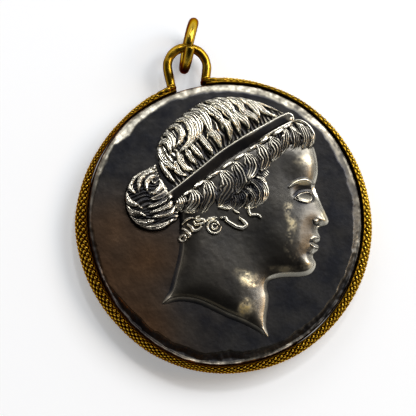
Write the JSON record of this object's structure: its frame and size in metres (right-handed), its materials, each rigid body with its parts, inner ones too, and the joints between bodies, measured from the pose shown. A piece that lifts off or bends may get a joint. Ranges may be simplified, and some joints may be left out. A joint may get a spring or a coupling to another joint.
{
  "type": "coin pendant",
  "caption": "Cast coin with a raised head in profile, held in a convex knurled band with a soldered wire loop, and an open jump ring through the loop.",
  "frame": {"origin": "centre of the coin's flat back, which lies on the table", "axes": "+Z out of the coin's face, +Y from the coin's centre to the loop"},
  "size_m": [0.0402, 0.0485, 0.0078],
  "materials": {
    "oxidised_silver": "cast silver, darkened and rubbed bright on the high parts",
    "gold_plate": "polished gold plate with dark recesses"
  },
  "bodies": {
    "root": {"coin": "oxidised_silver", "bezel": "gold_plate", "jump_ring": "gold_plate"}
  },
  "joints": []
}
